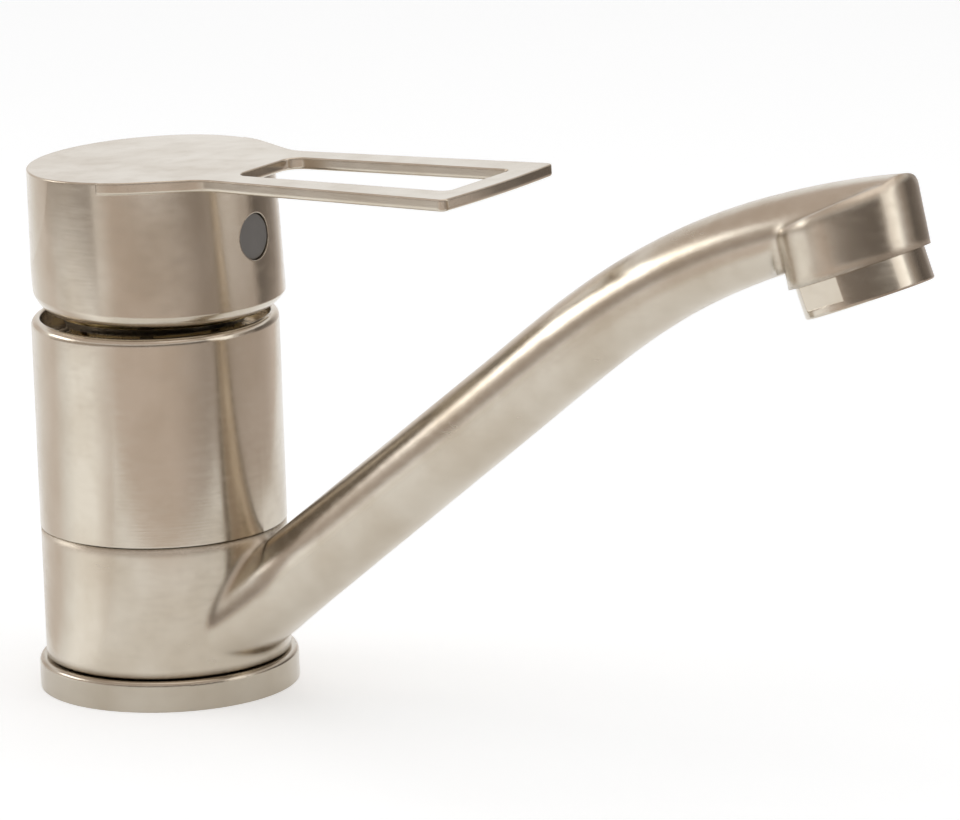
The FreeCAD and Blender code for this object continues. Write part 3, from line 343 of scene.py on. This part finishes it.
@dataclass
class Cartridge(Fittings):
    """Cartridge, its nut and the domed ring over it."""

    finishes: dict[str, Finish] = field(default_factory=lambda: {
        "cartridge_gasket": RUBBER,
        "cartridge_base": PLASTIC,
        "fixed_disc": CERAMIC,
        "cartridge_housing": PLASTIC,
        "moving_disc": CERAMIC,
        "disc_carrier": PLASTIC,
        "cartridge_rotor": PLASTIC,
        "stem_pin": STEEL,
        "cartridge_nut": BRASS,
        "dome_ring": CHROME,
    })


@dataclass
class Spout(Fittings):
    """Cast spout with its aerator."""

    finishes: dict[str, Finish] = field(default_factory=lambda: {
        "spout": SatinMetal("satin_spout", Grain.CAST, gloss=0.21, soft=0.0026),
        "aerator_housing": SatinMetal("satin_aerator_ring", Grain.TURNED, gloss=0.18),
        "aerator_insert": PLASTIC,
        "aerator_screen": STEEL,
        "aerator_washer": RUBBER,
    })


@dataclass
class Lever(Fittings):
    """Lever handle, its stem, screw and plug."""

    finishes: dict[str, Finish] = field(default_factory=lambda: {
        "lever_handle": SatinMetal("satin_lever", Grain.ALONG, gloss=0.19),
        "lever_stem": BRASS,
        "grub_screw": STEEL,
        "index_plug": Moulded("grey_plug", (0.20, 0.19, 0.18), 0.36),
    })


def seen_rays(tree: bpy.types.NodeTree) -> bpy.types.NodeSocket:
    """Tells the rays that show a backdrop: to the eye, in metal and through glass.

    Args:
        tree: The nodes to add to.

    Returns:
        1 for such a ray, else 0.
    """
    path = tree.nodes.new("ShaderNodeLightPath")
    total = path.outputs["Is Camera Ray"]
    for name in ("Is Glossy Ray", "Is Transmission Ray"):
        either = tree.nodes.new("ShaderNodeMath")
        either.operation = "MAXIMUM"
        tree.links.new(total, either.inputs[0])
        tree.links.new(path.outputs[name], either.inputs[1])
        total = either.outputs["Value"]
    return total


SHADE_TINT: Colour = (1.0, 0.87, 0.79)
SHADE_END = 0.75


def card_tone(level: float, brightest: float) -> tuple[float, float, float, float]:
    """Gives a brightness its colour: warm in the shade, neutral in the light.

    Args:
        level: The brightness.
        brightest: The brightness that full white stands for.

    Returns:
        The colour with full cover.
    """
    share = min(1.0, max(0.0, (level - SHADE_END) / (1.0 - SHADE_END)))
    part = level / brightest
    red, green, blue = (part * (tint + (1.0 - tint) * share) for tint in SHADE_TINT)
    return red, green, blue, 1.0


@dataclass(frozen=True)
class Ring:
    """Brightness of a card that bends round the object.

    Each stop is an angle in degrees, to the right of the camera seen from the object, and a
    brightness, where 1 is white.
    """

    stops: tuple[tuple[float, float], ...]


TABLE_RING = Ring(((-180, 1.1), (-150, 1.05), (-124, 0.90), (-107, 0.84), (-92, 1.04),
                   (-79, 1.24), (-60, 1.24), (-46, 0.90), (-34, 0.74), (12, 0.73), (24, 0.64),
                   (45, 0.46), (95, 0.58), (118, 0.60), (140, 0.80), (180, 1.1)))
FAR_RING = Ring(((-180, 1.1), (-135, 0.90), (-112, 0.50), (-92, 0.38), (-60, 0.34), (-45, 0.34),
                 (0, 0.30), (40, 0.22), (62, 0.40), (76, 0.80), (88, 0.40), (108, 0.16),
                 (135, 0.30), (160, 0.9)))
ROOM_RING = Ring(((-180, 1.06), (-160, 0.88), (-146, 0.70), (-116, 0.92), (-104, 0.90),
                  (-92, 0.58), (-60, 0.52), (-38, 0.30), (0, 0.24), (44, 0.17), (62, 0.45),
                  (76, 1.0), (90, 0.45), (108, 0.14), (135, 0.25), (160, 0.88), (180, 1.06)))
CEILING_RING = Ring(((-180, 0.66), (180, 0.66)))


@dataclass
class Studio:
    """Pale floor, white surroundings, soft lamps, cards and the camera.

    Lengths are in metres. Angles round the object are in degrees, to the right of the camera.

    Attributes:
        azimuth: Direction of the camera round the object, in radians.
        rise: Height of the camera as an angle, in radians.
        roll: Turn of the camera about its own axis, in radians.
        distance: Distance from the camera to what it aims at.
        focal_px: Focal length in pixels of the picture.
        aim_height: Height of the aim on the body's axis.
        aim_right: Shift of the aim to the camera's right.
        aim_up: Shift of the aim to the camera's top.
        image: Width and height of the picture in pixels.
        floor_reach: Half the side of the floor.
        mat_height: Height of the near cards over the floor.
        far_height: Height of the far card over the floor.
        far_start: Where the far card begins.
        far_beside: Where it begins on the left and right.
        beside: Angles between which it begins there.
        reach: Distance of the bent card that stands round the object.
        wall_foot: Height of its lower edge.
        wall_tall: Height of its upper edge.
        ceiling_reach: Half the width of the card overhead.
        ceiling_height: Height of the card overhead.
        steps: Corners of a card that goes all round.
        brightest: Brightness that a card's full white stands for.
        light: Brightness of the world as a light.
        glow: Brightness that the floor adds where it is seen.
        lamp_aim: What the lamps face.
    """

    azimuth: float = math.radians(35.03)
    rise: float = math.radians(13.6)
    roll: float = math.radians(-1.90)
    distance: float = 1.65489
    focal_px: float = 8187.79
    aim_height: float = 0.05
    aim_right: float = 0.06473
    aim_up: float = 0.00374
    image: tuple[int, int] = (960, 820)
    floor_reach: float = 6.0
    mat_height: float = 0.0004
    far_height: float = 0.0008
    far_start: float = 1.05
    far_beside: float = 0.45
    beside: tuple[tuple[float, float], ...] = ((-112, -52), (100, 165))
    reach: float = 2.4
    wall_foot: float = 0.001
    wall_tall: float = 0.95
    ceiling_reach: float = 2.2
    ceiling_height: float = 1.3
    steps: int = 96
    brightest: float = 1.25
    light: float = 0.45
    glow: float = 0.42
    lamp_aim: Point = (0.06, 0.0, 0.06)

    def build(self) -> None:
        """Sets up floor, surroundings, lamps, cards and camera."""
        self.floor()
        self.surroundings()
        self.lamp("left_softbox", (-0.80, -0.37, 0.41), (0.50, 0.24), 1.15)
        self.lamp("top_softbox", (0.10, 0.15, 1.15), (1.3, 1.0), 3.0)
        self.lamp("right_softbox", (1.25, 0.25, 0.45), (0.5, 0.9), 1.2)
        self.mat()
        self.far_floor()
        self.wall()
        self.ceiling()
        self.camera()

    def plan(self, right: float, near: float) -> tuple[float, float]:
        """Places a point of the floor by the way the camera looks.

        Args:
            right: Distance to the camera's right of the object's axis.
            near: Distance from the axis towards the camera.

        Returns:
            X and Y of the point.
        """
        east, north = math.sin(self.azimuth), -math.cos(self.azimuth)
        return near * east - right * north, near * north + right * east

    def floor(self) -> None:
        """Lays a wide pale floor that shows white and keeps a soft shadow."""
        far = self.floor_reach
        corners = [(-far, -far, 0), (far, -far, 0), (far, far, 0), (-far, far, 0)]
        floor = self.sheet("floor", corners, [(0, 1, 2, 3)])
        tree = NodeTree("pale_floor")
        mottle = tree.spread(tree.noise(Pattern.FLOOR.value), 0.0, 1.0)
        tone = tree.blend(mottle, (0.90, 0.90, 0.90), (0.92, 0.92, 0.92))
        tree.join(tone, tree.shader.inputs["Base Color"])
        tree.shader.inputs["Roughness"].default_value = 0.9
        tree.shader.inputs["Specular IOR Level"].default_value = 0.0
        glow = tree.add("ShaderNodeEmission")
        glow.inputs["Color"].default_value = (1, 1, 1, 1)
        seen = tree.spread(seen_rays(tree.tree), 0.0, self.glow)
        tree.join(seen, glow.inputs["Strength"])
        lit = tree.add("ShaderNodeAddShader")
        tree.join(tree.shader.outputs["BSDF"], lit.inputs[0])
        tree.join(glow.outputs["Emission"], lit.inputs[1])
        tree.join(lit.outputs["Shader"], tree.output.inputs["Surface"])
        floor.data.materials.append(tree.material)

    def surroundings(self) -> None:
        """Makes a world that shows white to the eye, in metal and glass, and lights softly."""
        world = bpy.data.worlds.new("studio")
        bpy.context.scene.world = world
        world.use_nodes = True
        tree = world.node_tree
        tree.nodes.clear()
        output = tree.nodes.new("ShaderNodeOutputWorld")
        shown = tree.nodes.new("ShaderNodeBackground")
        shown.inputs["Color"].default_value = (1, 1, 1, 1)
        lit = tree.nodes.new("ShaderNodeBackground")
        lit.inputs["Color"].default_value = (1, 1, 1, 1)
        lit.inputs["Strength"].default_value = self.light
        mix = tree.nodes.new("ShaderNodeMixShader")
        tree.links.new(seen_rays(tree), mix.inputs["Fac"])
        tree.links.new(lit.outputs["Background"], mix.inputs[1])
        tree.links.new(shown.outputs["Background"], mix.inputs[2])
        tree.links.new(mix.outputs["Shader"], output.inputs["Surface"])

    def mat(self) -> None:
        """Lays grey cards on the floor outside the picture, round the front and on both sides."""
        near, side, left, deep = 0.14, 0.17, 0.045, 0.80
        start, bend = (-0.01, near), (-0.16, 0.19)
        front = (start, (side, near), (side, -deep), (deep, -deep), (deep, deep), (-deep, deep),
                 (-deep, bend[1]), bend)
        beside = ((-deep, -deep), (-left, -deep), (-left, 0.03), bend, (-deep, bend[1]))
        for name, corners in (("front_card", front), ("left_card", beside)):
            points = [(*self.plan(*corner), self.mat_height) for corner in corners]
            self.card(name, points, [tuple(range(len(points)))], TABLE_RING)

    def far_floor(self) -> None:
        """Lays a darker card all round on the floor, further out."""
        inner = self.circle(self.far_start, self.far_height, self.far_beside)
        outer = self.circle(self.reach, self.far_height)
        self.card("far_card", inner + outer, self.band(), FAR_RING)

    def ceiling(self) -> None:
        """Hangs a wide grey card overhead."""
        points = self.circle(self.ceiling_reach, self.ceiling_height)
        self.card("ceiling_card", points, [tuple(range(len(points)))], CEILING_RING)

    def wall(self) -> None:
        """Stands a low bent card round the object, beyond the camera."""
        lower = self.circle(self.reach, self.wall_foot)
        upper = self.circle(self.reach, self.wall_tall)
        self.card("wall_card", lower + upper, self.band(), ROOM_RING)

    def circle(self, radius: float, height: float, beside: float | None = None) -> list[Point]:
        """Lists the points of a level line round the object.

        Args:
            radius: How far out it runs, in metres.
            height: Its height.
            beside: How far out it runs on the left and right, if not the same.

        Returns:
            The points, from behind the object by its left to its right.
        """
        points = []
        for step in range(self.steps):
            turn = 360 * step / self.steps - 180
            sideways = any(start < turn < end for start, end in self.beside)
            out = beside if beside and sideways else radius
            angle = math.radians(turn)
            points.append((*self.plan(out * math.sin(angle), out * math.cos(angle)), height))
        return points

    def band(self) -> list[tuple[int, int, int, int]]:
        """Lists the faces between two circles."""
        count = self.steps
        return [(k, (k + 1) % count, (k + 1) % count + count, k + count) for k in range(count)]

    def sheet(self, name: str, points: list[Point],
              faces: list[tuple[int, ...]]) -> bpy.types.Object:
        """Makes a thin sheet.

        Args:
            name: Name of the sheet.
            points: Its corners in metres.
            faces: Its faces, as numbers of corners.

        Returns:
            The sheet, without a finish.
        """
        mesh = bpy.data.meshes.new(name)
        mesh.from_pydata(points, [], faces)
        sheet = bpy.data.objects.new(name, mesh)
        bpy.context.scene.collection.objects.link(sheet)
        LOG.info("%s", name)
        return sheet

    def card(self, name: str, points: list[Point], faces: list[tuple[int, ...]],
             ring: Ring) -> None:
        """Makes a card that only metal shows, toned by the angle round the object.

        Args:
            name: Name of the card.
            points: Its corners in metres.
            faces: Its faces, as numbers of corners.
            ring: Its brightness round the object.
        """
        card = self.sheet(name, points, faces)
        tree = NodeTree(name)
        place = tree.add("ShaderNodeTexCoord").outputs["Object"]
        angle = tree.add("ShaderNodeMath", operation="ARCTAN2")
        for socket, axis in enumerate((self.plan(1.0, 0.0), self.plan(0.0, 1.0))):
            along = tree.add("ShaderNodeVectorMath", operation="DOT_PRODUCT")
            tree.join(place, along.inputs[0])
            along.inputs[1].default_value = (*axis, 0.0)
            tree.join(along.outputs["Value"], angle.inputs[socket])
        turn = tree.add("ShaderNodeMath", operation="MULTIPLY_ADD")
        tree.join(angle.outputs["Value"], turn.inputs[0])
        turn.inputs[1].default_value = 0.5 / math.pi
        turn.inputs[2].default_value = 0.5
        ramp = tree.add("ShaderNodeValToRGB")
        marks = ramp.color_ramp.elements
        for number, (degrees, level) in enumerate(ring.stops):
            at = degrees / 360 + 0.5
            mark = marks[number] if number < 2 else marks.new(at)
            mark.position = at
            mark.color = card_tone(level, self.brightest)
        tree.join(turn.outputs["Value"], ramp.inputs["Fac"])
        glow = tree.add("ShaderNodeEmission")
        glow.inputs["Strength"].default_value = self.brightest
        tree.join(ramp.outputs["Color"], glow.inputs["Color"])
        tree.join(glow.outputs["Emission"], tree.output.inputs["Surface"])
        card.data.materials.append(tree.material)
        card.visible_camera = False
        card.visible_shadow = False
        card.visible_diffuse = False

    def lamp(self, name: str, place: Point, size: tuple[float, float], power: float) -> None:
        """Hangs a soft rectangular lamp that faces the object.

        Args:
            name: Name of the lamp.
            place: Where it hangs, in metres.
            size: Its width and height in metres.
            power: Its power in watts.
        """
        data = bpy.data.lights.new(name, "AREA")
        data.shape = "RECTANGLE"
        data.size, data.size_y = size
        data.energy = power
        lamp = bpy.data.objects.new(name, data)
        lamp.location = place
        facing = Vector(self.lamp_aim) - Vector(place)
        lamp.rotation_euler = facing.to_track_quat("-Z", "Y").to_euler()
        bpy.context.scene.collection.objects.link(lamp)
        LOG.info("%s", name)

    def camera(self) -> None:
        """Stands the camera where the photograph was taken from."""
        azimuth, rise, roll = self.azimuth, self.rise, self.roll
        back = Vector((math.sin(azimuth) * math.cos(rise), -math.cos(azimuth) * math.cos(rise),
                       math.sin(rise)))
        right = Vector((math.cos(azimuth), math.sin(azimuth), 0))
        up = back.cross(right)
        target = Vector((0, 0, self.aim_height)) + right * self.aim_right + up * self.aim_up
        x_axis = right * math.cos(roll) + up * math.sin(roll)
        y_axis = up * math.cos(roll) - right * math.sin(roll)
        data = bpy.data.cameras.new("camera")
        data.sensor_fit = "HORIZONTAL"
        data.sensor_width = 36.0
        data.lens = self.focal_px * data.sensor_width / self.image[0]
        data.clip_end = 50.0
        camera = bpy.data.objects.new("camera", data)
        turn = Matrix((x_axis, y_axis, back)).transposed().to_4x4()
        camera.matrix_world = Matrix.Translation(target + back * self.distance) @ turn
        bpy.context.scene.collection.objects.link(camera)
        bpy.context.scene.camera = camera
        bpy.context.scene.view_settings.view_transform = "Standard"


def main() -> None:
    """Builds the sub-assemblies in order, then the studio."""
    logging.basicConfig(level=logging.INFO, format="%(message)s")
    for assembly in (Column(), Cartridge(), Spout(), Lever(), Studio()):
        LOG.info("building %s", type(assembly).__name__)
        assembly.build()


if __name__ == "__main__":
    main()
